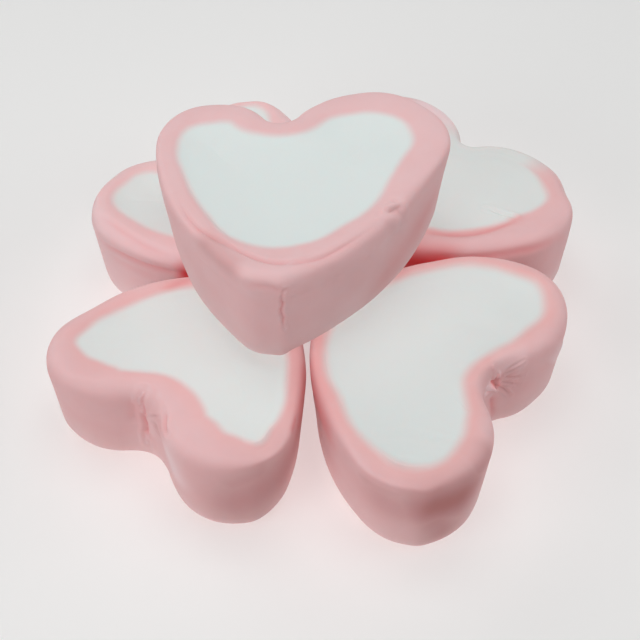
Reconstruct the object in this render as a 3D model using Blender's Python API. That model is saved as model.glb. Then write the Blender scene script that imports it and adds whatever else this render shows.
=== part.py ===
"""Five heart-shaped marshmallows: four lie in a ring, tips to the middle, and the fifth lies on them.

Each marshmallow is a slice cut from an extruded rope of foam, a pink skin round a white centre that
runs right through, so it is two solids: NAME_shell, the skin, and NAME_core, the white.
Metres, +Z up.  The heap stands on z = 0 and its box is centred on the origin.
"""

import math
from dataclasses import dataclass

import bmesh
import bpy
from mathutils import Matrix, Vector

MM = 0.001

# Sizes that the five marshmallows share, in millimetres.
EDGE_HEIGHT = 3.3       # the rounded edge of both faces, measured down the wall
EDGE_DEPTH = 2.4        # and in from the wall
TAPER = 1.3             # how much the underside is drawn in, all the way round
FACE_STEP = 0.35        # the white starts this far below the crest of the skin
DISH = 0.6              # the middle of the upper face dips by this much more
TOUCH_GAP = 0.3         # left between pieces that touch
SHARPEST = 0.4          # smallest radius that a tip is drawn with
CREASE_ANGLE = 50.0     # degrees; faces that meet more sharply than this are shaded as flat

# Steps along each arc of the outline, round the edge and across the dish.
NOTCH_STEPS = 8
LOBE_STEPS = 11
SIDE_STEPS = 8
TIP_STEPS = 6
EDGE_STEPS = 3
DISH_RINGS = (0.84, 0.5)    # size of each ring, as a share of the white face

PINK = "F0BCBC"
WHITE = "F3F4F1"
ROUGHNESS = 0.85


@dataclass(frozen=True)
class Lobe:
    """One half of a heart: a round lobe, and the long side that runs from it to the tip."""

    out: float              # from the heart's axis to the lobe's centre
    up: float               # height of that centre above the heart's origin
    radius: float
    side: float             # radius of the long side


@dataclass(frozen=True)
class Heart:
    """One marshmallow: its outline in millimetres, and how it lies."""

    name: str
    left: Lobe
    right: Lobe
    tip: float              # how far the tip reaches below the heart's origin
    tip_radius: float
    notch_radius: float
    skin: float             # thickness of the pink skin on the cut face
    core_tip: float         # tip radius of the white, which is rounder than the skin's
    core_notch: float       # notch radius of the white
    core_shift: tuple       # how far the white lies off the middle
    thick: float
    place: tuple
    heading: float          # degrees; 0 points the notch to +Y
    pitch: float = 0.0      # degrees; lifts the notch
    roll: float = 0.0       # degrees; lifts the left lobe


HEARTS = (
    Heart("top", Lobe(9.4, 5.2, 7.7, 44.5), Lobe(9.8, 7.0, 10.1, 43.0), 21.1, 6.4, 2.2,
          4.2, 9.2, 7.9, (-0.8, -0.8), 14.6, (-4.2, 12.2, 14.85), -6.0, -0.7, -2.2),
    Heart("front_left", Lobe(9.7, 3.8, 8.3, 31.0), Lobe(9.0, 3.4, 8.3, 28.5), 17.5, 5.9, 4.6,
          3.8, 6.7, 9.0, (-0.7, -1.1), 14.2, (-16.5, -5.5, 0.0), 145.0),
    Heart("front_right", Lobe(11.3, 2.3, 9.3, 34.0), Lobe(11.0, 3.7, 9.3, 30.0), 17.0, 5.7, 5.0,
          3.2, 6.6, 9.0, (0.5, -0.3), 14.8, (14.4, -4.9, 0.0), -123.0),
    Heart("back_left", Lobe(8.4, 2.6, 9.5, 20.5), Lobe(9.4, 4.8, 8.2, 37.0), 17.7, 5.7, 2.9,
          4.4, 8.0, 6.0, (-0.1, 0.5), 14.1, (-14.0, 27.5, 0.0), 46.0),
    Heart("back_right", Lobe(9.6, 3.7, 9.5, 37.5), Lobe(9.0, 2.5, 10.9, 33.0), 17.1, 5.8, 1.6,
          4.6, 7.5, 6.0, (-0.5, 0.5), 14.4, (15.5, 28.5, 0.0), -42.0),
)


def where_circles_meet(a, reach_a, b, reach_b, side):
    """Return the point that is reach_a from a and reach_b from b.

    side is +1 for the point to the left of the way from a to b, and -1 for the one to the right.
    """
    step = b - a
    along = (reach_a ** 2 - reach_b ** 2 + step.length_squared) / (2.0 * step.length)
    off = math.sqrt(max(reach_a ** 2 - along ** 2, 0.0))
    forward = step.normalized()
    return a + forward * along + Vector((-forward.y, forward.x)) * off * side


def arc(centre, radius, start, end, steps, hollow=False):
    """Return points round a circle, from the direction start to the direction end.

    It turns left, or right if it is hollow.  The end itself is left out: the next arc starts there.
    """
    first = math.atan2(start.y, start.x)
    sweep = (math.atan2(end.y, end.x) - first) % math.tau
    if hollow:
        sweep -= math.tau
    angles = [first + sweep * step / steps for step in range(steps)]
    return [centre + Vector((math.cos(angle), math.sin(angle))) * radius for angle in angles]


def outline(heart, inset, tip_radius=None, notch_radius=None):
    """Return the heart's outline, drawn in by inset, as points that turn left round it.

    Six arcs, each tangent to the next: left lobe, left side, tip, right side, right lobe and the notch,
    whose arc is hollow.  Drawing the outline in shrinks the round arcs and opens the hollow one.
    """
    left = Vector((-heart.left.out, heart.left.up))
    right = Vector((heart.right.out, heart.right.up))
    tip = Vector((0.0, heart.tip_radius - heart.tip))
    left_side = where_circles_meet(left, heart.left.side - heart.left.radius,
                                   tip, heart.left.side - heart.tip_radius, 1.0)
    right_side = where_circles_meet(right, heart.right.side - heart.right.radius,
                                    tip, heart.right.side - heart.tip_radius, -1.0)

    left_radius = heart.left.radius - inset
    right_radius = heart.right.radius - inset
    left_reach = heart.left.side - inset
    right_reach = heart.right.side - inset
    if tip_radius is None:
        tip_radius = max(heart.tip_radius - inset, SHARPEST)
    if notch_radius is None:
        notch_radius = heart.notch_radius + inset
    tip = where_circles_meet(left_side, left_reach - tip_radius, right_side, right_reach - tip_radius, 1.0)
    notch = where_circles_meet(left, left_radius + notch_radius, right, right_radius + notch_radius, 1.0)

    points = arc(left, left_radius, notch - left, left - left_side, LOBE_STEPS)
    points += arc(left_side, left_reach, left - left_side, tip - left_side, SIDE_STEPS)
    points += arc(tip, tip_radius, tip - left_side, tip - right_side, TIP_STEPS)
    points += arc(right_side, right_reach, tip - right_side, right - right_side, SIDE_STEPS)
    points += arc(right, right_radius, right - right_side, notch - right, LOBE_STEPS)
    points += arc(notch, notch_radius, right - notch, left - notch, NOTCH_STEPS, hollow=True)
    return points


def core_outline(heart, inset=0.0):
    """Return the line between the skin and the white, drawn in by inset."""
    shift = Vector(heart.core_shift)
    points = outline(heart, heart.skin + inset, heart.core_tip - inset, heart.core_notch + inset)
    return [point + shift for point in points]


def taper(heart, height):
    """Return how far the wall is drawn in at a height above the underside."""
    return TAPER * (1.0 - height / heart.thick)


def add_loop(mesh, points, height):
    """Add a closed loop of edges at a height, and return its edges."""
    corners = [mesh.verts.new((point.x * MM, point.y * MM, height * MM)) for point in points]
    return [mesh.edges.new((corners[i - 1], corners[i])) for i in range(len(corners))]


def bridge(mesh, loops):
    """Join each loop to the next with a band of faces."""
    for lower, upper in zip(loops, loops[1:]):
        bmesh.ops.bridge_loops(mesh, edges=lower + upper)


def wall_heights(heart):
    """Return the wall's profile as (height, inset) pairs, from the underside to the crest of the skin."""
    quarter = math.pi / 2.0
    turns = [quarter * step / EDGE_STEPS for step in range(EDGE_STEPS + 1)]
    lower = [(EDGE_HEIGHT * (1.0 - math.cos(turn)), EDGE_DEPTH * (1.0 - math.sin(turn))) for turn in turns]
    upper = [(heart.thick - EDGE_HEIGHT * (1.0 - math.sin(turn)), EDGE_DEPTH * (1.0 - math.cos(turn)))
             for turn in turns]
    return lower + upper


def shell_mesh(heart):
    """Build the pink skin: a ring with rounded edges round the white centre."""
    mesh = bmesh.new()
    loops = [add_loop(mesh, core_outline(heart, TAPER), 0.0)]
    for height, inset in wall_heights(heart):
        loops.append(add_loop(mesh, outline(heart, inset + taper(heart, height)), height))
    loops.append(add_loop(mesh, core_outline(heart), heart.thick - FACE_STEP))
    loops.append(loops[0])
    bridge(mesh, loops)
    return mesh


def core_mesh(heart):
    """Build the white centre: a flat underside, a plain wall and a dished upper face."""
    mesh = bmesh.new()
    face = core_outline(heart, TOUCH_GAP)
    rim_height = heart.thick - FACE_STEP
    loops = [add_loop(mesh, core_outline(heart, TOUCH_GAP + TAPER), 0.0), add_loop(mesh, face, rim_height)]
    middle = sum(face, Vector((0.0, 0.0))) / len(face)
    for share in DISH_RINGS:
        ring = [middle.lerp(point, share) for point in face]
        loops.append(add_loop(mesh, ring, rim_height - DISH * (1.0 - share ** 2)))
    bridge(mesh, loops)
    bmesh.ops.contextual_create(mesh, geom=loops[0])
    bmesh.ops.contextual_create(mesh, geom=loops[-1])
    return mesh


def linear(channel):
    """Turn one sRGB channel, 0 to 1, into linear light."""
    return channel / 12.92 if channel <= 0.04045 else ((channel + 0.055) / 1.055) ** 2.4


def foam_material(name, colour):
    """Return the matt, starch-dusted foam of a marshmallow in an sRGB hex colour."""
    material = bpy.data.materials.new(name)
    material.use_nodes = True
    shader = material.node_tree.nodes["Principled BSDF"]
    channels = [linear(int(colour[i:i + 2], 16) / 255.0) for i in (0, 2, 4)]
    shader.inputs["Base Color"].default_value = (*channels, 1.0)
    shader.inputs["Roughness"].default_value = ROUGHNESS
    shader.inputs["Metallic"].default_value = 0.0
    return material


def lay_down(heart):
    """Return the transform that puts a marshmallow in its place in the heap."""
    turned = (Matrix.Rotation(math.radians(heart.heading), 4, "Z")
              @ Matrix.Rotation(math.radians(heart.pitch), 4, "X")
              @ Matrix.Rotation(math.radians(heart.roll), 4, "Y"))
    return Matrix.Translation(Vector(heart.place) * MM) @ turned


def add_piece(name, mesh, material, parent):
    """Make an object of a finished mesh, smooth on its round edges, under its marshmallow's empty."""
    bmesh.ops.recalc_face_normals(mesh, faces=mesh.faces)
    data = bpy.data.meshes.new(name)
    mesh.to_mesh(data)
    mesh.free()
    data.shade_smooth()
    data.set_sharp_from_angle(angle=math.radians(CREASE_ANGLE))
    data.materials.append(material)
    piece = bpy.data.objects.new(name, data)
    piece.parent = parent
    bpy.context.scene.collection.objects.link(piece)
    return piece


def centre_on_origin(holders, pieces):
    """Slide the heap over the floor until its box is centred on the origin."""
    bpy.context.view_layer.update()
    corners = [piece.matrix_world @ vertex.co for piece in pieces for vertex in piece.data.vertices]
    middle = [(min(c[axis] for c in corners) + max(c[axis] for c in corners)) / 2.0 for axis in (0, 1)]
    for holder in holders:
        holder.matrix_world = Matrix.Translation((-middle[0], -middle[1], 0.0)) @ holder.matrix_world


def main():
    """Build the heap."""
    for old in list(bpy.data.objects):
        bpy.data.objects.remove(old, do_unlink=True)
    pink = foam_material("marshmallow_pink", PINK)
    white = foam_material("marshmallow_white", WHITE)
    holders = []
    pieces = []
    for heart in HEARTS:
        holder = bpy.data.objects.new(heart.name, None)
        bpy.context.scene.collection.objects.link(holder)
        holder.matrix_world = lay_down(heart)
        holders.append(holder)
        pieces.append(add_piece(heart.name + "_shell", shell_mesh(heart), pink, holder))
        pieces.append(add_piece(heart.name + "_core", core_mesh(heart), white, holder))
    centre_on_origin(holders, pieces)


if __name__ == "__main__":
    main()
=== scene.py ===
"""The looks of a heap of heart-shaped marshmallows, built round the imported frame.

Each marshmallow is one closed mesh: a pink skin that fades into a white centre, with the rolled rim, the
dished face, the grooves and the puckers of soft foam that was cut from a rope and dusted with starch.
It stands for two solids of the frame, NAME_shell and NAME_core, and takes its place from them.
"""

import logging
import math
import random
from dataclasses import dataclass
from enum import Enum

import bmesh
import bpy
import numpy as np
from mathutils import Matrix, Vector, noise


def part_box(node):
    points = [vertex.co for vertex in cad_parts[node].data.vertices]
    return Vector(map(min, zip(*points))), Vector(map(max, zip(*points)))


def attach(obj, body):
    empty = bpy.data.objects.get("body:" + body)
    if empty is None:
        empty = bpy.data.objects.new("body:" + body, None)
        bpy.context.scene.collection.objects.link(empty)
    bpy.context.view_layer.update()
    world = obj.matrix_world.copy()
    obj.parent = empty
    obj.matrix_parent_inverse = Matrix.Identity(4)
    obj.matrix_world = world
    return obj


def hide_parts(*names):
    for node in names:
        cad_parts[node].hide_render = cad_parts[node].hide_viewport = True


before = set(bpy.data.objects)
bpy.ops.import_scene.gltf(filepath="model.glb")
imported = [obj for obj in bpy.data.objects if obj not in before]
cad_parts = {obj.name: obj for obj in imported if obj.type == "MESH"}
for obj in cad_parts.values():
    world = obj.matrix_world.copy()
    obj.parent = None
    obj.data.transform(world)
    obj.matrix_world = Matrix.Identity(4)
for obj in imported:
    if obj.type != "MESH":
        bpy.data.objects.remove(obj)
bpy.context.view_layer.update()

logging.basicConfig(level=logging.INFO, format="%(message)s")
log = logging.getLogger("marshmallows")

MM = 0.001
SEAM = 1e-8                 # vertices closer than this many metres are joined

# Sizes that the five share, in millimetres. The first five are the solids' own.
EDGE_HEIGHT = 3.3           # the rounded edge, measured down the wall
EDGE_DEPTH = 2.4            # and in from the wall
TAPER = 1.3                 # how much the underside is drawn in
FACE_STEP = 0.35            # the white starts this far below the crest of the skin
DISH = 0.6                  # the middle of the upper face dips by this much more
DISH_REACH = 8.0            # within this distance of the skin
EDGE_LEAST = 0.9            # the edge is less deep where the skin is thin, down to this,
EDGE_TO_WHITE = 0.9         # so that the crest stays this far off the white
FULL_RIM = 1.6              # a rim at least this wide steps down to the white in full
LEAST_STEP_DOWN = 0.2       # and a narrow one less, down to this share
RIM_FALL = 1.6              # how late the rim falls away to the white; 1 is a straight slope

STRAIGHT_IN = 0.6           # how straight the columns cross the rim, 0 to 1
LEAST_STEP = 0.25           # neighbouring columns end at least this far apart, in columns
MIDDLE_DROP = 7.0           # the face's rows close in on a point this far towards the tip
FAR_OFF = 1000.0            # where a chart has no place, its numbers lie this far away
FLOOR_REACH = 2000.0        # from the middle of the floor to its edges

# Columns of the mesh along each arc of the outline, and rows along each stretch of the profile.
LOBE_COLUMNS = 146
SIDE_COLUMNS = 72
TIP_COLUMNS = 56
NOTCH_COLUMNS = 68
CROWD = 1.35                # columns crowd towards the notch and the face's rows towards the skin
COLUMNS = 2 * LOBE_COLUMNS + 2 * SIDE_COLUMNS + TIP_COLUMNS + NOTCH_COLUMNS
UNDER_ROWS = 14
UNDER_RIM_ROWS = 6
LOW_EDGE_ROWS = 14
WALL_ROWS = 46
TOP_EDGE_ROWS = 30
RIM_ROWS = 26
FACE_ROWS = 32


class Chart(Enum):
    """How the two numbers of a place on a marshmallow are measured, in millimetres."""

    TIP = "along the outline from the tip, right lobe positive; up over the edge from the top of the wall"
    NOTCH = "along the outline from the notch, right lobe positive; up over the edge from the top of the wall"
    FACE = "the heart's own x and y on its upper face"


TIP, NOTCH, FACE = Chart


@dataclass(frozen=True)
class Lobe:
    """One half of a heart, in millimetres.

    Attributes:
        out: from the heart's axis to the lobe's centre.
        up: height of that centre above the heart's origin.
        radius: radius of the lobe.
        side: radius of the long side that runs from the lobe to the tip.
    """

    out: float
    up: float
    radius: float
    side: float


@dataclass(frozen=True)
class Ring:
    """A closed line round a heart.

    Attributes:
        points: COLUMNS x 2 places, turning left from the notch over the left lobe.
        inward: COLUMNS x 2 unit vectors that point into the heart.
    """

    points: np.ndarray
    inward: np.ndarray


def where_circles_meet(a: np.ndarray, reach_a: float, b: np.ndarray, reach_b: float,
                       side: float) -> np.ndarray:
    """Find the point at a distance from each of two points.

    Args:
        a: first point.
        reach_a: distance from it.
        b: second point.
        reach_b: distance from that.
        side: +1 for the point to the left of the way from a to b, -1 for the right.

    Returns:
        The point.
    """
    step = b - a
    length = float(np.hypot(*step))
    forward = step / length
    along = (reach_a ** 2 - reach_b ** 2 + length ** 2) / (2.0 * length)
    off = math.sqrt(max(reach_a ** 2 - along ** 2, 0.0))
    return a + forward * along + np.array([-forward[1], forward[0]]) * off * side


def arc(centre: np.ndarray, radius: float, start: np.ndarray, end: np.ndarray, shares: np.ndarray,
        hollow: bool = False) -> tuple[np.ndarray, np.ndarray]:
    """Walk round part of a circle.

    Args:
        centre: centre of the circle.
        radius: its radius.
        start: direction of the first point.
        end: direction where the arc stops; that point itself is left to the next arc.
        shares: how far along the arc each point lies, from 0 to just under 1.
        hollow: whether the heart lies outside the circle, so that the walk turns right.

    Returns:
        The points, and the unit vectors into the heart.
    """
    first = math.atan2(start[1], start[0])
    sweep = (math.atan2(end[1], end[0]) - first) % math.tau
    if hollow:
        sweep -= math.tau
    angles = first + sweep * shares
    outward = np.stack([np.cos(angles), np.sin(angles)], axis=1)
    return centre + outward * radius, outward if hollow else -outward


@dataclass(frozen=True)
class Heart:
    """The outline of one marshmallow, as its solids have it, in millimetres.

    Attributes:
        left: the left lobe.
        right: the right lobe.
        tip: how far the tip reaches below the heart's origin.
        tip_radius: radius of the tip.
        notch_radius: radius of the notch.
        skin: thickness of the pink skin.
        core_tip: tip radius of the white.
        core_notch: notch radius of the white.
        core_shift: how far the white lies off the middle.
    """

    left: Lobe
    right: Lobe
    tip: float
    tip_radius: float
    notch_radius: float
    skin: float
    core_tip: float
    core_notch: float
    core_shift: tuple[float, float]

    def ring(self, inset: float, tip_radius: float, notch_radius: float) -> Ring:
        """Draw the outline as six arcs, each tangent to the next.

        Args:
            inset: how far the lobes and the sides are drawn in.
            tip_radius: radius of the tip.
            notch_radius: radius of the notch, which is hollow.

        Returns:
            The closed line.
        """
        left = np.array([-self.left.out, self.left.up])
        right = np.array([self.right.out, self.right.up])
        tip = np.array([0.0, self.tip_radius - self.tip])
        left_side, right_side = (
            where_circles_meet(centre, lobe.side - lobe.radius, tip, lobe.side - self.tip_radius, hand)
            for centre, lobe, hand in ((left, self.left, 1.0), (right, self.right, -1.0)))
        left_reach = self.left.side - inset
        right_reach = self.right.side - inset
        tip = where_circles_meet(left_side, left_reach - tip_radius, right_side, right_reach - tip_radius, 1.0)
        notch = where_circles_meet(left, self.left.radius - inset + notch_radius,
                                   right, self.right.radius - inset + notch_radius, 1.0)
        lobe = np.arange(LOBE_COLUMNS) / LOBE_COLUMNS
        side = np.arange(SIDE_COLUMNS) / SIDE_COLUMNS
        arcs = (
            arc(left, self.left.radius - inset, notch - left, left - left_side, lobe ** CROWD),
            arc(left_side, left_reach, left - left_side, tip - left_side, side),
            arc(tip, tip_radius, tip - left_side, tip - right_side, np.arange(TIP_COLUMNS) / TIP_COLUMNS),
            arc(right_side, right_reach, tip - right_side, right - right_side, side),
            arc(right, self.right.radius - inset, right - right_side, notch - right,
                1.0 - (1.0 - lobe) ** CROWD),
            arc(notch, notch_radius, right - notch, left - notch, np.arange(NOTCH_COLUMNS) / NOTCH_COLUMNS,
                hollow=True),
        )
        return Ring(np.concatenate([part[0] for part in arcs]), np.concatenate([part[1] for part in arcs]))

    def wall(self) -> Ring:
        """Draw the outer wall."""
        return self.ring(0.0, self.tip_radius, self.notch_radius)

    def core(self, inset: float = 0.0) -> Ring:
        """Draw the line between the skin and the white, drawn in by inset."""
        ring = self.ring(self.skin + inset, self.core_tip - inset, self.core_notch + inset)
        return Ring(ring.points + np.array(self.core_shift), ring.inward)


def fade(value: np.ndarray, low: float, high: float) -> np.ndarray:
    """Rise smoothly from 0 at low to 1 at high.

    Args:
        value: numbers to map.
        low: where the rise starts.
        high: where it ends; it may lie below low, which turns the rise round.

    Returns:
        The mapped numbers, 0 to 1.
    """
    share = np.clip((value - low) / (high - low), 0.0, 1.0)
    return share * share * (3.0 - 2.0 * share)


def blend(a: np.ndarray, b: np.ndarray, rows: int) -> np.ndarray:
    """Step evenly from one row of points to another.

    Args:
        a: the row before the first.
        b: the last row.
        rows: number of steps.

    Returns:
        The rows.
    """
    shares = np.arange(1, rows + 1) / rows
    return a[None] + (b - a)[None] * shares[:, None, None]


def distance_to(line: np.ndarray, places: np.ndarray) -> np.ndarray:
    """Measure how far places lie from a closed line, seen from above.

    Args:
        line: the line's points, one for each column, x and y first.
        places: rows x columns x 3.

    Returns:
        The distances, rows x columns.
    """
    line = line[::2, :2]
    flat = places[..., :2].reshape(-1, 2)
    nearest = np.full(len(flat), np.inf)
    for start, end in zip(line, np.roll(line, -1, axis=0)):
        way = end - start
        gap = flat - start
        share = np.clip(gap @ way / max(float(way @ way), 1e-12), 0.0, 1.0)
        nearest = np.minimum(nearest, ((gap - share[:, None] * way) ** 2).sum(axis=1))
    return np.sqrt(nearest).reshape(places.shape[:2])


def facing(ring: Ring, line: np.ndarray) -> np.ndarray:
    """Pick the point of a closed line that faces each of a ring's points.

    It lies near where a ray from the ring's point, straight into the heart, meets the line, and a little
    towards the line's own point of that column, which evens out the picks at a tight tip.

    Args:
        ring: where the rays start, and their directions.
        line: the line's points, one for each column.

    Returns:
        The picked points, one for each column.
    """
    way = np.roll(line, -1, axis=0) - line
    gap_x, gap_y = (line[None] - ring.points[:, None]).transpose(2, 0, 1)
    ray_x, ray_y = ring.inward.T[:, :, None]
    cross = ray_x * way[:, 1] - ray_y * way[:, 0]
    reach = (gap_x * way[:, 1] - gap_y * way[:, 0]) / cross
    share = (gap_x * ray_y - gap_y * ray_x) / cross
    missed = (share < -1e-6) | (share > 1.0 + 1e-6) | (reach < 0.0)
    hit = np.where(missed, np.inf, reach).argmin(axis=1)
    own = np.arange(COLUMNS)
    shift = (hit + share[own, hit] - own + COLUMNS / 2.0) % COLUMNS - COLUMNS / 2.0
    picked = in_order(own + STRAIGHT_IN * shift)
    return np.column_stack([np.interp(picked, own, line[:, axis], period=COLUMNS) for axis in (0, 1)])


def in_order(picks: np.ndarray) -> np.ndarray:
    """Move picks round a closed line apart, so that each lies beyond the one before it.

    Args:
        picks: places along the line, counted in columns, one for each column.

    Returns:
        The picks in order.
    """
    least = LEAST_STEP * np.arange(3 * COLUMNS)
    beyond = np.concatenate([picks - COLUMNS, picks, picks + COLUMNS]) - least
    rising = np.maximum.accumulate(beyond)
    falling = np.minimum.accumulate(beyond[::-1])[::-1]
    return ((rising + falling) / 2.0 + least)[COLUMNS:2 * COLUMNS]


def middle_of(line: np.ndarray) -> np.ndarray:
    """Return the point that the rows inside a line close in on."""
    return line.mean(axis=0) - np.array([0.0, MIDDLE_DROP, 0.0])[:line.shape[1]]


def edge_depth(line: np.ndarray, wall: np.ndarray) -> np.ndarray:
    """Work out how deep the rounded edge may reach in from the wall.

    Args:
        line: the line between the skin and the white, x and y first.
        wall: the wall's places, one for each column.

    Returns:
        The depths, one for each column.
    """
    return np.clip(distance_to(line, wall[None])[0] - EDGE_TO_WHITE, EDGE_LEAST, EDGE_DEPTH)


@dataclass
class Surface:
    """The surface of one marshmallow as a grid, rows up the profile and columns round the outline.

    Attributes:
        places: rows x columns x 3, in millimetres.
        normals: rows x columns x 3 unit vectors that point out.
        from_tip: along the outline from the tip, one for each column.
        from_notch: along the outline from the notch, one for each column.
        across: up over the edge from the top of the wall, rows x columns; below 0 under it.
        into_white: how far a place lies inside the white, rows x columns.
    """

    places: np.ndarray
    normals: np.ndarray
    from_tip: np.ndarray
    from_notch: np.ndarray
    across: np.ndarray
    into_white: np.ndarray

    def chart(self, kind: Chart) -> tuple[np.ndarray, np.ndarray]:
        """Measure every place in a chart.

        Args:
            kind: the chart.

        Returns:
            The two numbers, rows x columns each.
        """
        if kind is FACE:
            off = np.where(self.across < 0.0, FAR_OFF, 0.0)
            return self.places[..., 0] + off, self.places[..., 1]
        along = self.from_tip if kind is TIP else self.from_notch
        return np.broadcast_to(along, self.across.shape), self.across


@dataclass(frozen=True)
class Mark:
    """A crease, ridge, dent, pale or bare patch, painted glow or painted shade along a line on a marshmallow,
    in millimetres.

    Attributes:
        chart: how the line's places are measured.
        line: the places that the line runs through.
        width: half width, to where the mark has faded to about a third.
        depth: how deep it is pressed in; below 0 it is raised.
        keen: 2 for a rounded hollow, towards 1 for a keen crease.
        lip: height of the soft swelling along both sides, as a share of the depth.
        flush: how much redder the skin is painted, 0 to 1, for the glow and shade in folds and between pieces.
        pale: how much whiter the skin is, 0 to 1.
        bare: how much of the white shows through the skin, 0 to 1.
        shade: how much painted shade darkens the skin, 0 to 1.
        taper: share of the line's length over which each end fades out.
    """

    chart: Chart
    line: tuple[tuple[float, float], ...]
    width: float
    depth: float = 0.0
    keen: float = 2.0
    lip: float = 0.0
    flush: float = 0.0
    pale: float = 0.0
    bare: float = 0.0
    shade: float = 0.0
    taper: float = 0.3

    LIP_AT = 2.0            # a lip's crest lies this many half widths from the line,
    LIP_END = 5.0           # and the lip ends here
    BLUNT = -0.02           # a fade starts this far beyond an end, as a share of the length

    def path(self) -> np.ndarray:
        """Cut the line's corners twice, so that it bends smoothly.

        Returns:
            The line's points.
        """
        points = np.array(self.line)
        for _ in range(2 if len(points) > 2 else 0):
            near = 0.75 * points[:-1] + 0.25 * points[1:]
            far = 0.25 * points[:-1] + 0.75 * points[1:]
            inner = np.stack([near, far], axis=1).reshape(-1, 2)[1:-1]
            points = np.concatenate([points[:1], inner, points[-1:]])
        return points

    def strength(self, surface: Surface) -> tuple[np.ndarray, np.ndarray]:
        """Measure how strongly the mark acts at each place.

        Args:
            surface: the marshmallow's surface.

        Returns:
            The strength, 0 to 1, and the squared distance from the line in half widths.
        """
        first, second = surface.chart(self.chart)
        path = self.path()
        ways = np.diff(path, axis=0)
        lengths = np.maximum(np.hypot(*ways.T), 1e-6)
        begins = np.concatenate([[0.0], np.cumsum(lengths)])
        nearest = np.full(first.shape, np.inf)
        run = np.zeros(first.shape)
        for start, way, length, begin in zip(path, ways, lengths, begins):
            along = ((first - start[0]) * way[0] + (second - start[1]) * way[1]) / length ** 2
            along = np.clip(along, 0.0, 1.0)
            gap = (first - start[0] - along * way[0]) ** 2 + (second - start[1] - along * way[1]) ** 2
            closer = gap < nearest
            nearest = np.where(closer, gap, nearest)
            run = np.where(closer, begin + along * length, run)
        squared = nearest / self.width ** 2
        share = run / begins[-1]
        ends = fade(np.minimum(share, 1.0 - share), self.BLUNT, self.taper) if self.taper else 1.0
        return np.exp(-squared ** (self.keen / 2.0)) * ends, squared

    def press(self, surface: Surface) -> np.ndarray:
        """Work out how far the mark moves each place inwards.

        Args:
            surface: the marshmallow's surface.

        Returns:
            The distances in millimetres, rows x columns.
        """
        strength, squared = self.strength(surface)
        swelling = self.lip * np.exp(-(np.sqrt(squared) - self.LIP_AT) ** 2)
        return self.depth * (strength - swelling * (squared < self.LIP_END ** 2))


# Stretches of an outline, in millimetres: the middle of each, measured from the tip with the right lobe
# positive, half its length, and how much it adds.
Stretches = tuple[tuple[float, float, float], ...]


@dataclass(frozen=True)
class Waves:
    """Where a marshmallow is a little out of line, as soft food is.

    Attributes:
        top: how far the wall stands out at the top.
        foot: how far the wall stands out at the foot.
        white: how far the white reaches out.
        lift: how much higher the rim is.
        square: how much squarer the upper edge is; 0 is round, and below 0 it slopes.
    """

    top: Stretches = ()
    foot: Stretches = ()
    white: Stretches = ()
    lift: Stretches = ()
    square: Stretches = ()


def add_up(stretches: Stretches, from_tip: np.ndarray) -> np.ndarray:
    """Add up stretches round the outline.

    Args:
        stretches: what to add up.
        from_tip: place of each column along the outline.

    Returns:
        The sum, one for each column.
    """
    whole = float(from_tip.max() - from_tip.min())
    total = np.zeros(COLUMNS)
    for at, reach, amount in stretches:
        gap = (from_tip - at + whole / 2.0) % whole - whole / 2.0
        total += amount * np.exp(-(gap / reach) ** 2)
    return total


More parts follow.
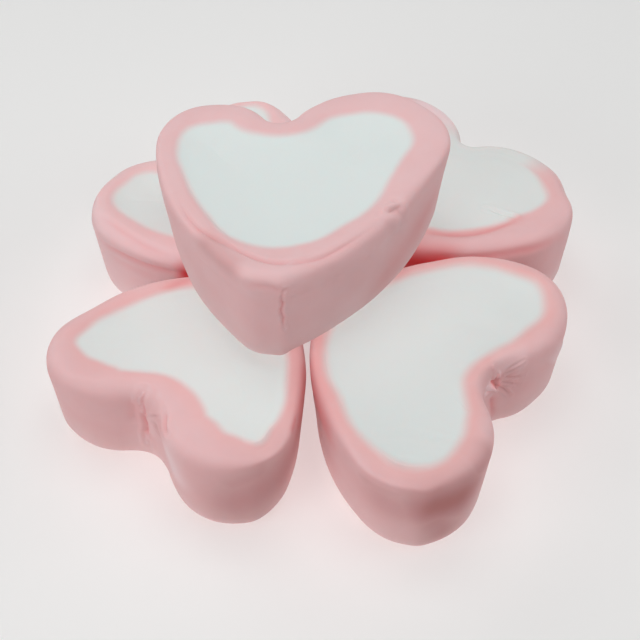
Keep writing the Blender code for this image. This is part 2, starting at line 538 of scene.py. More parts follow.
@dataclass
class Marshmallow:
    """One marshmallow of the heap.

    Attributes:
        name: its name; the solids it stands for are NAME_shell and NAME_core.
        heart: its outline.
        thick: its thickness in millimetres.
        heading: degrees that it is turned from pointing its notch to +Y.
        pitch: degrees that its notch is lifted.
        roll: degrees that its left lobe is lifted.
        seed: picks its own unevenness.
        dish: how much deeper or flatter its face is than usual, as a factor.
        square: 2 for an upper edge that is rounded as an ellipse, more for a squarer one.
        melt: half width of the fade from pink to white, in millimetres.
        cool: how much its white leans to blue, 0 to 1.
        blush: how salmon its skin is beside the white, 0 to 1.
        starch: how far its whole skin is paled towards the starched colour, 0 to 1.
        waves: where it is out of line.
        marks: its creases, dents and stains.
    """

    name: str
    heart: Heart
    thick: float
    heading: float
    pitch: float = 0.0
    roll: float = 0.0
    seed: int = 1
    dish: float = 1.0
    square: float = 2.5
    melt: float = 0.7
    cool: float = 0.0
    blush: float = 0.8
    starch: float = 0.0
    waves: Waves = Waves()
    marks: tuple[Mark, ...] = ()

    WOBBLE = 0.16           # height of the slow unevenness
    WOBBLE_SIZE = 11.0      # and its size
    QUICK = 0.25            # a quicker unevenness has this share of its height
    QUICK_SIZE = 0.4        # and this share of its size
    STREAK = 0.02           # height of the faint upright streaks that extruding leaves on the wall
    STREAK_SIZE = 2.2       # and their width
    STREAK_CHANGE = 0.12    # how much they change up the wall, as a share of the change across them
    RAGGED = 0.3            # how far the edge of the white strays
    RAGGED_SIZE = 4.5       # and over what distance
    # The wall's colour is partly painted shade.
    WALL_LEAN = (0.98, 0.15)        # upright part of the normal where the wall's colour starts and is full
    RIM_FROM_WHITE = (0.5, 3.0)     # distances from the white where the rim's colour starts and is full
    # The foot's colour is painted light, bounced up from the floor.
    FOOT_FROM = 3.0                 # the foot's colour starts this far below the top of the wall

    def surface(self) -> Surface:
        """Lay out the plain form as a grid, before its marks.

        Returns:
            The surface, from the middle of the underside up to the middle of the face.
        """
        wall = self.heart.wall()
        core = self.heart.core()
        thick = self.thick
        from_tip, from_notch = self.distances(wall)
        uneven = {name: add_up(stretches, from_tip) for name, stretches in vars(self.waves).items()}
        square = self.square + uneven["square"]
        low_line = np.column_stack([facing(wall, self.heart.core(TAPER).points), np.zeros(COLUMNS)])
        white_line = facing(wall, core.points - core.inward * uneven["white"][:, None])

        def drawn_in(inset: np.ndarray | float, height: np.ndarray | float) -> np.ndarray:
            """Draw the wall's line at a height.

            Args:
                inset: how far it is drawn in, besides the taper.
                height: above the underside.

            Returns:
                The line, COLUMNS x 3.
            """
            height = np.broadcast_to(height, (COLUMNS,))
            share = np.clip(height / thick, 0.0, 1.0)
            inset = inset + TAPER * (1.0 - share) - uneven["foot"] * (1.0 - share) - uneven["top"] * share
            return np.column_stack([wall.points + wall.inward * inset[:, None], height])

        rows: list[np.ndarray] = []
        depth = edge_depth(low_line, drawn_in(0.0, 0.0))
        foot = drawn_in(depth, 0.0)
        low_middle = np.broadcast_to(middle_of(low_line), low_line.shape)
        rows.extend(blend(low_middle, low_line, UNDER_ROWS))
        rows.extend(blend(low_line, foot, UNDER_RIM_ROWS))
        white_below = UNDER_ROWS - 1
        for turn in math.pi / 2.0 * np.arange(1, LOW_EDGE_ROWS + 1) / LOW_EDGE_ROWS:
            rows.append(drawn_in(depth * (1.0 - math.sin(turn)), EDGE_HEIGHT * (1.0 - math.cos(turn))))
        for share in np.arange(1, WALL_ROWS + 1) / WALL_ROWS:
            rows.append(drawn_in(0.0, EDGE_HEIGHT + (thick - 2.0 * EDGE_HEIGHT) * share))
        wall_top = len(rows) - 1
        depth = edge_depth(white_line, drawn_in(0.0, thick))
        for turn in math.pi / 2.0 * np.arange(1, TOP_EDGE_ROWS + 1) / TOP_EDGE_ROWS:
            rise = math.sin(turn) ** (2.0 / square)
            run = max(math.cos(turn), 0.0) ** (2.0 / square)
            height = thick - EDGE_HEIGHT + (EDGE_HEIGHT + uneven["lift"]) * rise
            rows.append(drawn_in(depth * (1.0 - run), height))
        crest = rows[-1]
        rim = np.linalg.norm(crest[:, :2] - white_line, axis=1)
        step = FACE_STEP * np.clip(rim / FULL_RIM, LEAST_STEP_DOWN, 1.0)
        line = np.column_stack([white_line, thick - step])
        for share in np.arange(1, RIM_ROWS + 1) / RIM_ROWS:
            row = crest + (line - crest) * share
            row[:, 2] = crest[:, 2] + (line[:, 2] - crest[:, 2]) * share ** RIM_FALL
            rows.append(row)
        white_above = len(rows) - 1
        middle = middle_of(white_line)
        for share in 1.0 - (np.arange(1, FACE_ROWS) / FACE_ROWS) ** CROWD:
            rows.append(np.column_stack([middle + (white_line - middle) * share, line[:, 2]]))

        places = np.array(rows)
        into_white = np.full(places.shape[:2], -2.0 * self.heart.skin)
        below = white_below + UNDER_RIM_ROWS + 1
        into_white[:below] = -distance_to(low_line, places[:below])
        into_white[:white_below + 1] *= -1.0
        into_white[wall_top:] = -distance_to(white_line, places[wall_top:])
        into_white[white_above:] *= -1.0
        slope = 1.0 - np.clip(into_white[white_above:] / DISH_REACH, 0.0, 1.0)
        places[white_above:, :, 2] -= DISH * self.dish * (1.0 - slope ** 2)
        places[white_above:, :, 2] -= (FACE_STEP - step) * fade(into_white[white_above:], 0.0, FULL_RIM)
        steps = np.linalg.norm(np.diff(places, axis=0), axis=2)
        across = np.concatenate([np.zeros((1, COLUMNS)), np.cumsum(steps, axis=0)])
        return Surface(places, outward(places), from_tip, from_notch, across - across[wall_top], into_white)

    def distances(self, wall: Ring) -> tuple[np.ndarray, np.ndarray]:
        """Measure along the outline.

        Args:
            wall: the outer wall.

        Returns:
            The distances from the tip and from the notch, one for each column, right lobe positive.
        """
        steps = np.hypot(*(np.roll(wall.points, -1, axis=0) - wall.points).T)
        run = np.concatenate([[0.0], np.cumsum(steps)[:-1]])
        whole = float(steps.sum())
        tip_column = LOBE_COLUMNS + SIDE_COLUMNS + TIP_COLUMNS // 2
        notch_column = COLUMNS - NOTCH_COLUMNS // 2
        half = whole / 2.0
        from_tip = (run - run[tip_column] + half) % whole - half
        from_notch = -((run - run[notch_column] + half) % whole - half)
        return from_tip, from_notch

    def unevenness(self, surface: Surface) -> np.ndarray:
        """Work out how far the foam stands out from its plain form.

        Args:
            surface: the plain form.

        Returns:
            The distances in millimetres, rows x columns.
        """
        shift = Vector((self.seed * 17.3, self.seed * 5.1, self.seed * 9.7))
        out = np.zeros(surface.across.shape)
        for row, column in np.ndindex(out.shape):
            place = Vector(surface.places[row, column])
            slow = noise.noise(place / self.WOBBLE_SIZE + shift)
            quick = noise.noise(place / (self.QUICK_SIZE * self.WOBBLE_SIZE) - shift)
            place.z *= self.STREAK_CHANGE
            streak = noise.noise(place / self.STREAK_SIZE + shift)
            out[row, column] = self.WOBBLE * (slow + self.QUICK * quick) + self.STREAK * streak
        return out

    def build(self) -> bpy.types.Object:
        """Model the marshmallow where its solids lie.

        Returns:
            The object.
        """
        surface = self.surface()
        out = self.unevenness(surface)
        # Colour masks from the marks: painted glow and shade in folds and between pieces, pale starch, bare
        # white and painted shade.
        stains_and_shade = {mask_name: np.zeros(out.shape) for mask_name in ("flush", "pale", "bare", "shade")}
        for mark in self.marks:
            out -= mark.press(surface)
            strength, _ = mark.strength(surface)
            for mask_name, mask in stains_and_shade.items():
                np.maximum(mask, getattr(mark, mask_name) * strength, out=mask)
        places = surface.places + surface.normals * out[..., None]
        places[..., 2] = np.maximum(places[..., 2], 0.0)

        ragged = np.array([noise.noise(Vector(place) / self.RAGGED_SIZE + Vector((self.seed, 0.0, 0.0)))
                           for place in surface.places.reshape(-1, 3)]).reshape(out.shape)
        into_white = surface.into_white + self.RAGGED * ragged
        masks = {
            "white": np.maximum(fade(into_white, -self.melt, self.melt), stains_and_shade.pop("bare")),
            "rim": 1.0 - self.blush * (1.0 - fade(-into_white, *self.RIM_FROM_WHITE)),
            # The wall's colour, partly its own deeper pink and partly painted shade, grows as the surface
            # turns from facing up.
            "wall": fade(surface.normals[..., 2], *self.WALL_LEAN),
            # Painted light from the floor's bounce, growing towards the foot of the wall.
            "foot": fade(-surface.across, self.FOOT_FROM, self.thick - EDGE_HEIGHT),
            "cool": np.full(out.shape, self.cool),
            "starch": np.full(out.shape, self.starch),
            **stains_and_shade,
        }
        return self.roll_up(places, masks)

    def roll_up(self, places: np.ndarray, masks: dict[str, np.ndarray]) -> bpy.types.Object:
        """Roll a sheet into the closed marshmallow.

        Args:
            places: rows x columns x 3, in millimetres, in the heart's own frame.
            masks: a number from 0 to 1 for each place, by name.

        Returns:
            The object, at the origin with its place in its mesh.
        """
        rows = len(places)
        sheet = bmesh.new()
        bmesh.ops.create_grid(sheet, x_segments=COLUMNS, y_segments=rows + 1, size=1.0)
        mesh = bpy.data.meshes.new(self.name)
        sheet.to_mesh(mesh)
        flat = np.empty(3 * len(mesh.vertices))
        mesh.vertices.foreach_get("co", flat)
        flat = flat.reshape(-1, 3)
        column = np.rint((flat[:, 0] + 1.0) / 2.0 * COLUMNS).astype(int) % COLUMNS
        level = np.rint((flat[:, 1] + 1.0) / 2.0 * (rows + 1)).astype(int)
        row = np.clip(level - 1, 0, rows - 1)
        points = places[row, column]
        for pole, nearest in ((0, 0), (rows + 1, rows - 1)):
            points[level == pole] = places[nearest].mean(axis=0)
        turned = self.turn()
        points = points @ np.array(turned.to_3x3()).T * MM
        points += self.place(turned)
        mesh.vertices.foreach_set("co", points.ravel())
        for name, mask in masks.items():
            mesh.attributes.new(name, "FLOAT", "POINT").data.foreach_set("value", mask[row, column])
        sheet.clear()
        sheet.from_mesh(mesh)
        bmesh.ops.remove_doubles(sheet, verts=sheet.verts, dist=SEAM)
        bmesh.ops.dissolve_degenerate(sheet, edges=sheet.edges, dist=SEAM)
        sheet.to_mesh(mesh)
        sheet.free()
        mesh.shade_smooth()
        mesh.update()
        piece = bpy.data.objects.new(self.name, mesh)
        bpy.context.scene.collection.objects.link(piece)
        return piece

    def turn(self) -> Matrix:
        """Return the rotation from the heart's own frame to the heap's."""
        return (Matrix.Rotation(math.radians(self.heading), 4, "Z")
                @ Matrix.Rotation(math.radians(self.pitch), 4, "X")
                @ Matrix.Rotation(math.radians(self.roll), 4, "Y"))

    def place(self, turned: Matrix) -> np.ndarray:
        """Work out from the solid skin's box where the heart's origin lies.

        Args:
            turned: the rotation into the heap's frame.

        Returns:
            The place in metres.
        """
        low, high = (np.array(corner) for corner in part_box(self.name + "_shell"))
        wall = self.heart.wall()
        corners = []
        for height, inset in ((0.0, EDGE_DEPTH), (EDGE_HEIGHT, 0.0), (self.thick - EDGE_HEIGHT, 0.0),
                              (self.thick, EDGE_DEPTH)):
            line = wall.points + wall.inward * (inset + TAPER * (1.0 - height / self.thick))
            corners.append(np.column_stack([line, np.full(COLUMNS, height)]))
        spread = np.concatenate(corners) @ np.array(turned.to_3x3()).T * MM
        return (low + high) / 2.0 - (spread.min(axis=0) + spread.max(axis=0)) / 2.0


def outward(places: np.ndarray) -> np.ndarray:
    """Work out which way a grid faces whose columns close on themselves.

    Args:
        places: rows x columns x 3.

    Returns:
        The unit normals, rows x columns x 3.
    """
    normals = np.cross(np.roll(places, -1, axis=1) - np.roll(places, 1, axis=1), np.gradient(places, axis=0))
    return normals / np.maximum(np.linalg.norm(normals, axis=2, keepdims=True), 1e-9)


def linear(colour: str) -> tuple[float, float, float, float]:
    """Turn an sRGB hex colour into linear light.

    Args:
        colour: six hex digits.

    Returns:
        Red, green and blue light, and full alpha.
    """
    channels = [int(colour[i:i + 2], 16) / 255.0 for i in (0, 2, 4)]
    light = [c / 12.92 if c <= 0.04045 else ((c + 0.055) / 1.055) ** 2.4 for c in channels]
    return (light[0], light[1], light[2], 1.0)


def set_inputs(node: bpy.types.Node, inputs: dict[str | int, object]) -> None:
    """Set or link some of a node's inputs.

    Args:
        node: the node.
        inputs: for each socket, by name or number, a value or the socket that feeds it.
    """
    for name, value in inputs.items():
        if isinstance(value, bpy.types.NodeSocket):
            node.id_data.links.new(value, node.inputs[name])
        else:
            node.inputs[name].default_value = value


def add_node(tree: bpy.types.NodeTree, kind: str, settings: dict[str, object] | None = None,
             inputs: dict[str | int, object] | None = None) -> bpy.types.Node:
    """Add a node to a material.

    Args:
        tree: the material's nodes.
        kind: the node's type.
        settings: its own properties.
        inputs: values and links, as in set_inputs.

    Returns:
        The node.
    """
    node = tree.nodes.new(kind)
    for name, value in (settings or {}).items():
        setattr(node, name, value)
    set_inputs(node, inputs or {})
    return node


@dataclass(frozen=True)
class SugarFoam:
    """Marshmallow: whipped sugar and gelatine, extruded, cut and tumbled in starch.

    The starch makes it dead matt, and the foam lets light in a little way, so that shading is soft and
    folds glow deeper pink. Some of the colours below paint light and shade on top of that.

    Attributes:
        inner: the skin beside the white, a warm pink.
        rim: the skin on the rim, greyed by starch.
        wall: the skin down the wall: partly its own deeper pink, partly painted shade where the wall turns
            from the light above.
        foot: the skin at the wall's foot, lighter: painted light bounced up from the floor.
        deep: a saturated red, painted glow and shade in folds, creases and the gaps between pieces.
        shaded: painted shade, for walls that face away from the light and for wrinkles.
        starched: the skin where starch has gathered.
        white: the centre.
        white_cool: the centre where it leans to blue.
        roughness: of the starch dust.
        glow: share of the light that goes through the foam.
        reach: how far it goes, in millimetres.
        pore: size of the finest bubbles that show, in millimetres.
        blotch: size of the soft patches of colour, in millimetres.
    """

    inner: str = "E9B4B2"
    rim: str = "E4BABB"
    wall: str = "E0B0B1"
    foot: str = "E2BCBC"
    deep: str = "DC4A4C"
    shaded: str = "A65C58"
    starched: str = "F0DBDE"
    white: str = "DFE3E1"
    white_cool: str = "DCE8E7"
    roughness: float = 0.88
    glow: float = 0.35
    reach: float = 1.2
    pore: float = 0.45
    blotch: float = 5.0

    def material(self, name: str) -> bpy.types.Material:
        """Build the material from the piece's own masks and from patterns in the heap's frame.

        Args:
            name: its name.

        Returns:
            The material.
        """
        material = bpy.data.materials.new(name)
        material.use_nodes = True
        tree = material.node_tree
        where = add_node(tree, "ShaderNodeTexCoord").outputs["Object"]

        def mask(attribute: str) -> bpy.types.NodeSocket:
            """Return one of the piece's masks."""
            return add_node(tree, "ShaderNodeAttribute", {"attribute_name": attribute}).outputs["Fac"]

        def mixed(share: object, a: object, b: object) -> bpy.types.NodeSocket:
            """Return the mix of two colours."""
            return add_node(tree, "ShaderNodeMix", {"data_type": "RGBA"}, {0: share, 6: a, 7: b}).outputs[2]

        blotches = add_node(tree, "ShaderNodeTexNoise", None, {
            "Vector": where, "Scale": 1.0 / (self.blotch * MM), "Detail": 3.0})
        patchy = add_node(tree, "ShaderNodeMapRange", None, {
            "Value": blotches.outputs["Fac"], "From Min": 0.35, "From Max": 0.7, "To Max": 0.12})
        # The skin's colours, mixed in turn: rim, wall (partly painted shade), foot (painted light from the
        # floor), starch, starch blotches, painted glow and shade in folds, painted shade, pale starch.
        skin = linear(self.inner)
        for share, colour in ((mask("rim"), self.rim), (mask("wall"), self.wall), (mask("foot"), self.foot),
                              (mask("starch"), self.starched), (patchy.outputs["Result"], self.starched),
                              (mask("flush"), self.deep), (mask("shade"), self.shaded),
                              (mask("pale"), self.starched)):
            skin = mixed(share, skin, linear(colour))
        centre = mixed(mask("cool"), linear(self.white), linear(self.white_cool))

        pores = add_node(tree, "ShaderNodeTexNoise", None, {
            "Vector": where, "Scale": 1.0 / (self.pore * MM), "Detail": 4.0, "Roughness": 0.6})
        bump = add_node(tree, "ShaderNodeBump", None, {
            "Height": pores.outputs["Fac"], "Strength": 0.25, "Distance": 0.05 * MM})
        set_inputs(tree.nodes["Principled BSDF"], {
            "Base Color": mixed(mask("white"), skin, centre),
            "Normal": bump.outputs["Normal"],
            "Roughness": self.roughness,
            "IOR": 1.4,
            "Specular IOR Level": 0.25,
            "Subsurface Weight": self.glow,
            "Subsurface Radius": (1.0, 0.45, 0.4),
            "Subsurface Scale": self.reach * MM,
        })
        return material


@dataclass(frozen=True)
class Studio:
    """A pale floor, soft light and the camera.

    Attributes:
        aim: point that the camera looks at, in millimetres.
        distance: from that point to the camera, in millimetres.
        elevation: degrees that the camera looks down.
        tilt: degrees that the camera is turned about its own axis.
        lens: focal length in millimetres for a 36 mm sensor.
        floor: colour of the floor.
        surround: brightness of the white room.
    """

    aim: tuple[float, float, float] = (-0.3, -10.9, 15.0)
    distance: float = 177.8
    elevation: float = 46.55
    tilt: float = 0.36
    lens: float = 80.7
    floor: str = "F8F8F7"
    surround: float = 0.02

    # The name of each light, its place and the length of its side in millimetres, and its power in watts:
    # first with shadows, then of a fill in the same place that leaves none.
    LIGHTS = (
        ("overhead", (0.0, 0.0, 450.0), 320.0, 0.5, 0.9),
        ("front_left", (-300.0, -300.0, 160.0), 300.0, 0.5, 0.34),
        ("back_left", (-300.0, 300.0, 250.0), 300.0, 0.3, 0.18),
        ("right", (420.0, -60.0, 200.0), 300.0, 0.36, 0.34),
    )

    def build(self) -> None:
        """Add the floor, the room, the lights and the camera."""
        self.add_floor()
        self.add_room()
        for name, place, size, energy, fill in self.LIGHTS:
            self.add_light(name, place, size, energy, shadow=True)
            self.add_light(name + "_fill", place, size, fill, shadow=False)
        self.add_camera()

    def add_floor(self) -> None:
        """Lay a wide pale floor just under the heap."""
        sheet = bmesh.new()
        bmesh.ops.create_grid(sheet, x_segments=1, y_segments=1, size=FLOOR_REACH * MM)
        mesh = bpy.data.meshes.new("floor")
        sheet.to_mesh(mesh)
        sheet.free()
        material = bpy.data.materials.new("matt_white_card")
        material.use_nodes = True
        set_inputs(material.node_tree.nodes["Principled BSDF"],
                   {"Base Color": linear(self.floor), "Roughness": 0.9})
        mesh.materials.append(material)
        floor = bpy.data.objects.new("floor", mesh)
        bpy.context.scene.collection.objects.link(floor)

    def add_room(self) -> None:
        """Surround the heap with even white light."""
        world = bpy.data.worlds.new("white_room")
        world.use_nodes = True
        set_inputs(world.node_tree.nodes["Background"],
                   {"Color": linear("FFFFFF"), "Strength": self.surround})
        bpy.context.scene.world = world

    def add_light(self, name: str, place: tuple[float, float, float], size: float, energy: float,
                  shadow: bool) -> None:
        """Hang a square soft light that faces the heap.

        Args:
            name: its name.
            place: where it hangs, in millimetres.
            size: length of its side, in millimetres.
            energy: its power in watts.
            shadow: False for a fill that leaves no shadow.
        """
        lamp = bpy.data.lights.new(name, "AREA")
        lamp.use_shadow = shadow
        lamp.size = size * MM
        lamp.energy = energy
        holder = bpy.data.objects.new(name, lamp)
        holder.location = Vector(place) * MM
        holder.rotation_euler = (Vector(self.aim) - Vector(place)).to_track_quat("-Z", "Y").to_euler()
        bpy.context.scene.collection.objects.link(holder)

    def add_camera(self) -> None:
        """Set up the camera and the view's plain colours."""
        aim = Vector(self.aim) * MM
        down = math.radians(self.elevation)
        place = aim + Vector((0.0, -math.cos(down), math.sin(down))) * self.distance * MM
        lens = bpy.data.cameras.new("camera")
        lens.lens = self.lens
        lens.sensor_width = 36.0
        lens.clip_start = 0.01
        camera = bpy.data.objects.new("camera", lens)
        camera.matrix_world = (Matrix.Translation(place)
                               @ (aim - place).to_track_quat("-Z", "Y").to_matrix().to_4x4()
                               @ Matrix.Rotation(math.radians(self.tilt), 4, "Z"))
        bpy.context.scene.collection.objects.link(camera)
        bpy.context.scene.camera = camera
        bpy.context.scene.view_settings.view_transform = "Standard"


def wrinkles(chart: Chart, hub: tuple[float, float], fan: tuple[float, float], reach: tuple[float, float],
             count: int, depth: float, shade: float, seed: int) -> tuple[Mark, ...]:
    """Spread fine wrinkles like a fan, as where skin is drawn together.

    Args:
        chart: how places are measured.
        hub: where the wrinkles meet.
        fan: the first and the last direction, in degrees from the chart's first axis.
        reach: how far from the hub they start, and how far they go at most.
        count: number of wrinkles.
        depth: of the deepest.
        shade: how much painted shade darkens them, 0 to 1.
        seed: picks their unevenness.

    Returns:
        The wrinkles.
    """
    chance = random.Random(seed)
    made = []
    for number in range(count):
        angle = math.radians(fan[0] + (fan[1] - fan[0]) * (number + 0.5 * chance.random()) / count)
        bend = chance.uniform(-0.35, 0.35)
        near = reach[0] * chance.uniform(0.6, 1.4)
        far = reach[0] + (reach[1] - reach[0]) * chance.uniform(0.4, 1.0)
        line = []
        for step, distance in enumerate((near, (near + far) / 2.0, far)):
            turned = angle + bend * step / 2.0 + chance.uniform(-0.06, 0.06)
            line.append((hub[0] + distance * math.cos(turned), hub[1] + distance * math.sin(turned)))
        made.append(Mark(chart, tuple(line), chance.uniform(0.13, 0.22), depth * chance.uniform(0.5, 1.0),
                         keen=1.4, lip=0.6, shade=shade, taper=0.45))
    return tuple(made)


def beads(chart: Chart, line: tuple[tuple[float, float], ...], count: int, size: float, length: float,
          pale: float, seed: int) -> tuple[Mark, ...]:
    """Set small crumbs and welts along a crease.

    Args:
        chart: how places are measured.
        line: the places that the crease runs through, evenly spaced.
        count: number of crumbs.
        size: half width of the largest.
        length: of the longest.
        pale: how starchy they are, 0 to 1.
        seed: picks their unevenness.

    Returns:
        The crumbs.
    """
    chance = random.Random(seed)
    made = []
    places = np.array(line)
    for number in range(count):
        run = (number + chance.random()) / count * (len(places) - 1)
        first = min(int(run), len(places) - 2)
        x, y = places[first] + (places[first + 1] - places[first]) * (run - first)
        x += chance.uniform(-0.25, 0.25)
        end = (x + chance.uniform(-0.25, 0.25), y - length * chance.uniform(0.2, 1.0))
        made.append(Mark(chart, ((x, y), end), size * chance.uniform(0.5, 1.0),
                         -size * chance.uniform(0.5, 1.0), pale=pale, taper=0.0))
    return tuple(made)


def top() -> Marshmallow:
    """Describe the marshmallow that lies on the others.

    Returns:
        The marshmallow.
    """
    heart = Heart(Lobe(9.4, 5.2, 7.7, 44.5), Lobe(9.8, 7, 10.1, 43), 21.1, 6.4, 2.2,
                  4.2, 9.2, 7.9, (-0.8, -0.8))
    waves = Waves(
        top=((2.9, 1.3, 0.45), (2.9, 3.5, -0.6), (-3.5, 3, -0.15), (-7, 7, -1.1), (15, 9, 0.25),
             (35, 6, 0.7), (46, 5, -0.5), (56.5, 6, -0.95), (-59, 2.5, -0.25),
             (-44, 3, -0.22), (-38, 9, -0.25)),
        foot=((2.9, 1.3, 0.3), (35, 6, -0.4), (46, 5, -0.3), (56.5, 6, -0.9), (-59, 2.5, -0.25),
              (-44, 3, -0.22), (-38, 9, -0.2)),
        white=((-3.5, 3, -0.4), (-9, 6, -0.4), (15, 11, 1), (39, 7, 0.7), (56.5, 6, -0.9),
               (-55.5, 2, -0.4), (-51, 4.6, 1.2), (-27, 4, 0.4)),
        square=((15, 9, -1.2), (35, 6, 1)),
    )
    groove = ((-12, -6.5), (-10.2, -10.2), (-7.7, -13.1), (-3.2, -15.5), (-0.2, -17.2), (2.2, -17.5),
              (5.5, -16.8), (7.5, -15.4), (10.1, -12.6), (12.7, -9.4))
    seam = ((3.5, 1.7), (2.8, 0.6), (3.2, -0.6), (2.7, -1.8), (3.2, -3), (2.9, -4), (3.3, -5))
    # Redder marks paint the glow and shade in the groove, the seam at the tip and the crease under the tip's
    # lip; darker marks paint shade in the short crease at the right of the face and where the rim turns down
    # at the front left; one wide mark paints both on the right wall.
    marks = (
        Mark(FACE, groove, 0.32, 0.3, keen=1.3, lip=0.15, flush=0.2, taper=0.25),
        Mark(FACE, ((-9.6, -10.2), (-6.2, -15.4), (-1.4, -18.9), (2.6, -19.2), (6.8, -17.6)), 0.9, -0.22),
        Mark(FACE, ((13.5, -7.6), (14.4, -6.8), (15.3, -6.2)), 0.32, 0.5, keen=1.3, lip=0.5, shade=0.3),
        Mark(FACE, ((15.3, -6.2), (14.6, -5.5), (13.8, -5.8)), 0.26, 0.34, keen=1.3, taper=0.1),
        Mark(FACE, ((14.6, -8.6), (15.6, -6.6)), 0.6, -0.12),
        Mark(TIP, seam, 0.2, 0.2, keen=1.3, lip=0.4, flush=0.3),
        Mark(TIP, ((-1.5, 2.2), (1.3, 2.3), (2.6, 1.8), (4.6, 1.3)), 0.4, 0.1, keen=1.5, lip=0.4, flush=0.1),
        Mark(TIP, ((8, 0.2), (12, -0.4)), 0.7, 0.12),
        Mark(TIP, ((13.5, 0.6), (17, 0.2)), 0.8, -0.14),
        Mark(TIP, ((18, -1.2), (23, -0.6)), 1.2, 0.16),
        Mark(TIP, ((34, -2), (24, -5.5), (14, -8.5)), 3, flush=0.2, shade=0.08),
        Mark(TIP, ((-13, 3.2), (-6.8, 3), (-2, 3.2)), 1.3, shade=0.3),
    )
    marks += beads(TIP, seam, 9, 0.09, 0.5, 0.2, 11)
    return Marshmallow("top", heart, 14.6, -6, -0.7, -2.2, seed=1, dish=1.3, square=4, cool=0.35,
                       blush=0.2, starch=0.1, waves=waves, marks=marks)


def front_left() -> Marshmallow:
    """Describe the lower marshmallow at the front left.

    Returns:
        The marshmallow.
    """
    heart = Heart(Lobe(9.7, 3.8, 8.3, 31), Lobe(9, 3.4, 8.3, 28.5), 17.5, 5.9, 4.6,
                  3.8, 6.7, 9, (-0.7, -1.1))
    waves = Waves(
        top=((26, 5.5, -0.8),),
        foot=((-33.5, 2.4, 0.3), (26, 5.5, -0.6), (42, 4, -0.2), (49.3, 1.8, 0.25),
              (-51, 2.5, 0.6)),
        white=((-45.5, 5, -1.3), (-33.5, 2.4, 0.9), (-38.5, 3, -0.35), (-25, 5, 0.5),
               (13, 6, 0.25), (34.2, 2.6, 0.8), (39, 2.5, 0.3), (42, 4, -0.35), (49.3, 1.8, 0.8)),
        lift=((-31, 4.5, -0.6),),
        square=((-31, 4.5, 4.5),),
    )
    crease = ((0.6, 3.4), (0.9, 1.6), (0.5, 0.2), (0.8, -1.4), (0.4, -3), (0.8, -4.8), (0.7, -6.8))
    # Redder marks paint the glow and shade in the creases at the notch, along the side that faces the front
    # right one and on the face beside the top one; darker marks paint the shade under the front rim, on the
    # wall that faces the front right one and in the wrinkles.
    marks = (
        Mark(NOTCH, crease, 0.35, 0.5, keen=1.3, lip=0.3, flush=0.35),
        Mark(NOTCH, ((1.5, 2), (1.7, -0.6), (2.1, -3.4)), 0.8, 0.3, flush=0.12),
        Mark(NOTCH, ((-0.8, 1.5), (-0.6, -2), (-0.4, -5)), 0.6, -0.2, pale=0.2),
        Mark(NOTCH, ((-2.5, 3.1), (-4.8, 2.4), (-5.9, 2.6)), 0.3, 0.18, keen=1.5, lip=0.5, flush=0.2),
        Mark(NOTCH, ((-3.2, 1.2), (-4, -0.8), (-4.2, -2.6)), 0.5, 0.2, lip=0.5, flush=0.2),
        Mark(NOTCH, ((-4.5, 2), (-6.5, 0.4), (-8, -3), (-8.6, -6)), 2.4, pale=0.45),
        Mark(TIP, ((-24, 2.8), (-27.4, 2.6)), 0.5, 0.06, flush=0.3),
        Mark(TIP, ((-27, 1), (-22, 1.2), (-14, 1.6)), 2.2, flush=0.4),
        Mark(TIP, ((-39, -2.5), (-35, -0.6), (-30, 0.4)), 2.8, 0.4, shade=0.3),
        Mark(TIP, ((-20, -1.5), (-28, -2), (-36, -4.5)), 4.5, shade=0.4, taper=0),
        Mark(FACE, ((9.2, -6.6), (8.6, -9.4), (7.4, -12)), 0.8, 0.05, flush=0.25),
    )
    marks += beads(NOTCH, crease, 11, 0.26, 1.5, 0.25, 12)
    marks += wrinkles(NOTCH, (1, -0.8), (150, 215), (1.6, 4.6), 7, 0.07, 0.25, 22)
    return Marshmallow("front_left", heart, 14.2, 145, seed=2, square=2.2, cool=0.1, blush=0.5,
                       waves=waves, marks=marks)


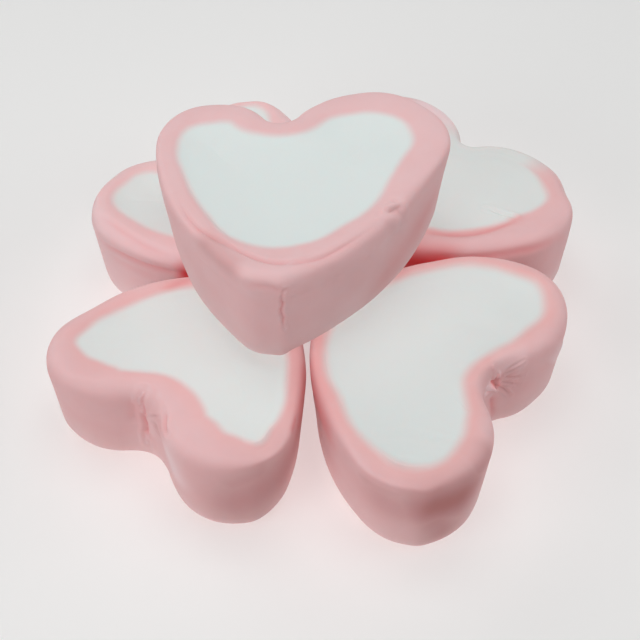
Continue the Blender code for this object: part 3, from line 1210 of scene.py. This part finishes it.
def front_right() -> Marshmallow:
    """Describe the lower marshmallow at the front right.

    Returns:
        The marshmallow.
    """
    heart = Heart(Lobe(11.3, 2.3, 9.3, 34), Lobe(11, 3.7, 9.3, 30), 17, 5.7, 5,
                  3.2, 6.6, 9, (0.5, -0.3))
    waves = Waves(
        top=((-46.5, 4, -0.2), (-41, 3, -0.25), (36.6, 1.4, 0.3), (41.5, 3, -0.2)),
        foot=((-46.5, 4, -0.6), (28.5, 3.5, -0.25), (36.6, 1.4, 0.2), (41.5, 3, -0.1),
              (37, 3, 0.15), (46.5, 3, -0.3)),
        white=((-54.5, 3, 1), (-46.5, 4, -0.65), (-34, 4, 0.9), (-21, 5, 1.3),
               (-12, 5, 0.7), (9, 6, 0.55), (28.5, 3.5, -0.5), (46.5, 3, -0.45),
               (55.5, 2.6, 0.9)),
        lift=((32.5, 6, -0.7),),
        square=((32.5, 6, 5),),
    )
    # Darker marks paint the shade on the front wall under the lobe, below the ridge, on the right wall and in
    # the wrinkles at the notch; redder marks paint the glow and shade in the notch's creases and along the
    # side that faces the front left one.
    marks = (
        Mark(TIP, ((38.2, -1.2), (41.5, -1.6)), 4, 0.2, shade=0.75, taper=0),
        Mark(TIP, ((38.5, -5), (39.5, -7)), 3, shade=0.45, taper=0),
        Mark(TIP, ((31.5, -1.5), (36, -2.5)), 3.2, shade=0.28, taper=0),
        Mark(TIP, ((42.4, 1), (49, 2)), 2.6, shade=0.35),
        Mark(TIP, ((27, 0.5), (32, 0.8), (36, 0.4)), 1, shade=0.25),
        Mark(TIP, ((8, 1.6), (16, 1.4), (24, 0.6)), 2.2, flush=0.4),
        Mark(NOTCH, ((-1.4, 0.8), (-1.8, -2)), 1.1, 0.6, flush=0.5, taper=0.1),
        Mark(NOTCH, ((-0.5, 1.4), (-0.6, -0.4), (-1.2, -2.6)), 0.45, -0.25, pale=0.9),
        Mark(NOTCH, ((-2, -3), (-2.6, -6), (-3.2, -9.4)), 0.4, 0.35, keen=1.3, flush=0.3),
        Mark(FACE, ((14.4, 0.7), (12.6, 2.4), (12, 3.9), (10.7, 8.1)), 0.34, 0.15, keen=1.4, lip=0.4),
        Mark(FACE, ((16.3, 2.7), (16.2, 4.6), (15.5, 6.6)), 0.25, 0.08, keen=1.4, lip=0.4),
        Mark(FACE, ((-6.9, -1.3), (-7.4, 1), (-6.6, 3.2)), 1.2, 0.12),
        Mark(NOTCH, ((-14, 0.5), (-11, -2.5)), 2.4, -0.2, pale=0.45),
        Mark(NOTCH, ((-7, 2), (-1, 3)), 2.2, pale=0.3),
    )
    fold = ((-1.5, 3.2), (-2, 1.6), (-2.1, 0), (-2.3, -1.6), (-2.6, -3.2))
    marks += beads(NOTCH, fold, 14, 0.2, 0.4, 0.2, 35)
    marks += wrinkles(NOTCH, (-0.9, -0.4), (120, 240), (0.4, 2.2), 18, 0.26, 0.6, 33)
    marks += wrinkles(NOTCH, (-1.2, -0.6), (140, 225), (1.4, 5.4), 15, 0.12, 0.3, 34)
    return Marshmallow("front_right", heart, 14.8, -123, seed=3, square=2.4, melt=0.95, cool=0.2,
                       waves=waves, marks=marks)


def back_left() -> Marshmallow:
    """Describe the lower marshmallow at the back left.

    Returns:
        The marshmallow.
    """
    heart = Heart(Lobe(8.4, 2.6, 9.5, 20.5), Lobe(9.4, 4.8, 8.2, 37), 17.7, 5.7, 2.9,
                  4.4, 8, 6, (-0.1, 0.5))
    waves = Waves(
        top=((-43, 3, -0.2), (-36.5, 2.5, 0.25), (36.5, 3, -0.6)),
        white=((-48, 5, 0.7), (-41, 2.5, 0.45), (-37.5, 3.5, 1), (32, 5, 2.4)),
    )
    # Redder marks paint the glow and shade in the folds on the face and the front rim, and where it meets the
    # others.
    marks = (
        Mark(FACE, ((-16.4, 6.8), (-16.2, 2.6), (-16.1, -1.2), (-15.5, -4.4), (-14.4, -7.4)), 0.5, 0.1,
             keen=1.5, lip=0.4, flush=0.15),
        Mark(TIP, ((-36, 1.6), (-31.2, 2.1), (-27.5, 2.1), (-24.4, 2.1), (-18.6, 2.1)), 0.7, -0.3),
        Mark(TIP, ((-33.5, 0.3), (-27.5, 0.6), (-22, 0.7), (-16, 0.7)), 0.6, 0.35, flush=0.25),
        Mark(TIP, ((-32, -1.4), (-27.5, -1.2), (-22, -1.4)), 0.7, 0.12, flush=0.08),
        Mark(TIP, ((-21, 1), (-18, 0.6), (-13, 0)), 1.8, flush=1),
    )
    return Marshmallow("back_left", heart, 14.1, 46, seed=4, blush=0.7, starch=0.3,
                       waves=waves, marks=marks)


def back_right() -> Marshmallow:
    """Describe the lower marshmallow at the back right.

    Returns:
        The marshmallow.
    """
    heart = Heart(Lobe(9.6, 3.7, 9.5, 37.5), Lobe(9, 2.5, 10.9, 33), 17.1, 5.8, 1.6,
                  4.6, 7.5, 6, (-0.5, 0.5))
    waves = Waves(
        top=((37.5, 2.5, -0.35), (40, 2.8, -0.5), (-45, 5, -0.2)),
        foot=((38, 4, 0.5),),
        white=((12, 5, 0.45), (26, 4.5, -0.9), (36, 3, 0.7), (43, 6, 0.35), (56, 9, 1.9)),
        square=((35.5, 2.5, 2),),
    )
    # Redder marks paint the glow and shade in the groove on the face, in the fold along the rim and where it
    # meets the others.
    marks = (
        Mark(FACE, ((5.6, -10.4), (7.1, -9.4), (10.1, -7.5), (12.4, -4.6), (13.7, -0.6), (15, 2.3)), 0.55,
             0.14, lip=0.3, flush=0.3),
        Mark(FACE, ((7.6, -11.4), (11.6, -8.4), (14.4, -4.4), (16, -0.5)), 0.9, -0.25),
        Mark(TIP, ((8, 2.2), (16.6, 2.1), (20.7, 2.3), (25.6, 2.4), (31.4, 2)), 0.7, 0.2, flush=0.3),
        Mark(TIP, ((2, 0.6), (9, 1), (13, 1.2), (17, 1)), 2.1, flush=1),
        Mark(FACE, ((9.7, 0.2), (11.5, 0.3), (13.4, 0.8)), 0.32, 0.26, keen=1.4, lip=0.5),
        Mark(NOTCH, ((0, 5), (8.5, 5)), 4.2, bare=1, taper=0),
        Mark(NOTCH, ((-16, 2.6), (-1, 2.6)), 4, pale=0.8),
    )
    return Marshmallow("back_right", heart, 14.4, -42, seed=5, blush=0.4,
                       waves=waves, marks=marks)


def main() -> None:
    """Build the marshmallows and the studio round them."""
    foam = SugarFoam().material("starch_dusted_sugar_foam")
    for marshmallow in (top(), front_left(), front_right(), back_left(), back_right()):
        piece = marshmallow.build()
        piece.data.materials.append(foam)
        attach(piece, "root")
        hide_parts(marshmallow.name + "_shell", marshmallow.name + "_core")
        log.info("%s: %d faces", piece.name, len(piece.data.polygons))
    Studio().build()


if __name__ == "__main__":
    main()
